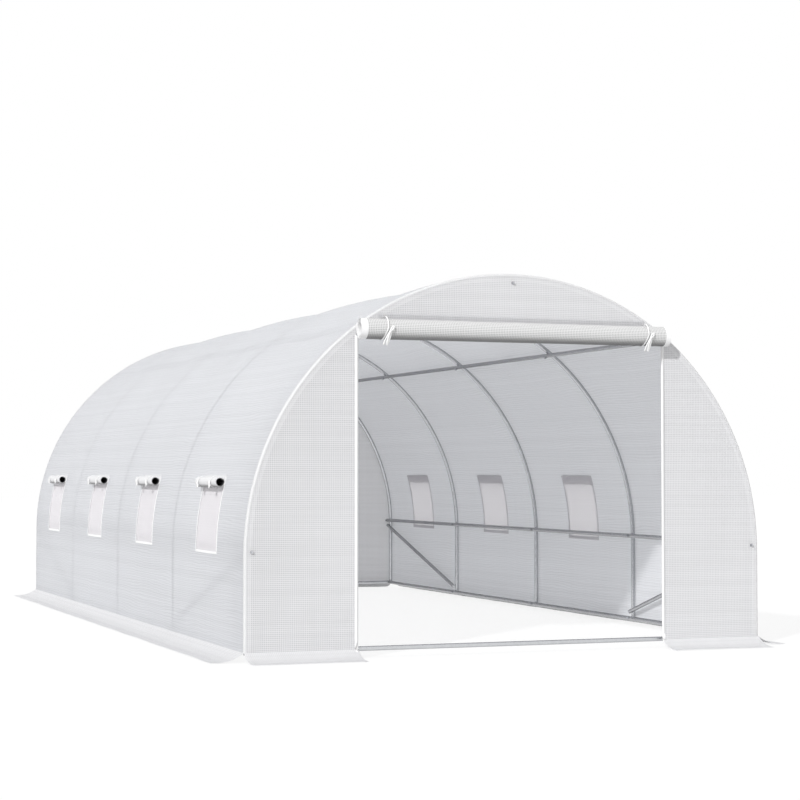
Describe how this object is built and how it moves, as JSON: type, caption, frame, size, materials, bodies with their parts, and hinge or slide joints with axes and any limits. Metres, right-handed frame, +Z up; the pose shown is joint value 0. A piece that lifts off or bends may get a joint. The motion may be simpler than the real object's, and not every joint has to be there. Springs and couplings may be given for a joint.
{
  "type": "polytunnel greenhouse",
  "caption": "Polytunnel greenhouse: bent steel tube hoops under a white translucent woven cover, with a rolled-up door and mesh windows along both sides.",
  "frame": {"origin": "on the ground under the middle of the tunnel", "axes": "+X to the right seen from the doorway, -Y out of the doorway, +Z up"},
  "size_m": [3.35, 6.3, 2.04],
  "materials": {
    "cover_sheet": "translucent woven polyethylene, satin",
    "galvanised_tube": "galvanised steel, satin",
    "screen_mesh": "fine woven insect mesh",
    "tie_webbing": "white tie tape"
  },
  "bodies": {
    "root": {"back_panel": "cover_sheet", "base_rail_back": "galvanised_tube", "base_rail_left": "galvanised_tube", "base_rail_right": "galvanised_tube", "braces_left": "galvanised_tube", "braces_right": "galvanised_tube", "door_roll": "cover_sheet", "door_ties": "tie_webbing", "front_gable": "cover_sheet", "front_panel_left": "cover_sheet", "front_panel_right": "cover_sheet", "hoop_1": "galvanised_tube", "hoop_2": "galvanised_tube", "hoop_3": "galvanised_tube", "hoop_4": "galvanised_tube", "hoop_5": "galvanised_tube", "mid_purlin_left": "galvanised_tube", "mid_purlin_right": "galvanised_tube", "ridge_purlin": "galvanised_tube", "roof_1": "cover_sheet", "roof_2": "cover_sheet", "roof_3": "cover_sheet", "roof_4": "cover_sheet", "skirt_back": "cover_sheet", "skirt_front_left": "cover_sheet", "skirt_front_right": "cover_sheet", "skirt_left": "cover_sheet", "skirt_right": "cover_sheet", "threshold_bar": "galvanised_tube", "upper_purlin_left": "galvanised_tube", "upper_purlin_right": "galvanised_tube", "wall_left_1": "cover_sheet", "wall_left_2": "cover_sheet", "wall_left_3": "cover_sheet", "wall_left_4": "cover_sheet", "wall_right_1": "cover_sheet", "wall_right_2": "cover_sheet", "wall_right_3": "cover_sheet", "wall_right_4": "cover_sheet", "window_rolls_left": "cover_sheet", "window_rolls_right": "cover_sheet", "window_screens_left": "screen_mesh", "window_screens_right": "screen_mesh", "window_ties_left": "tie_webbing", "window_ties_right": "tie_webbing"}
  },
  "joints": []
}
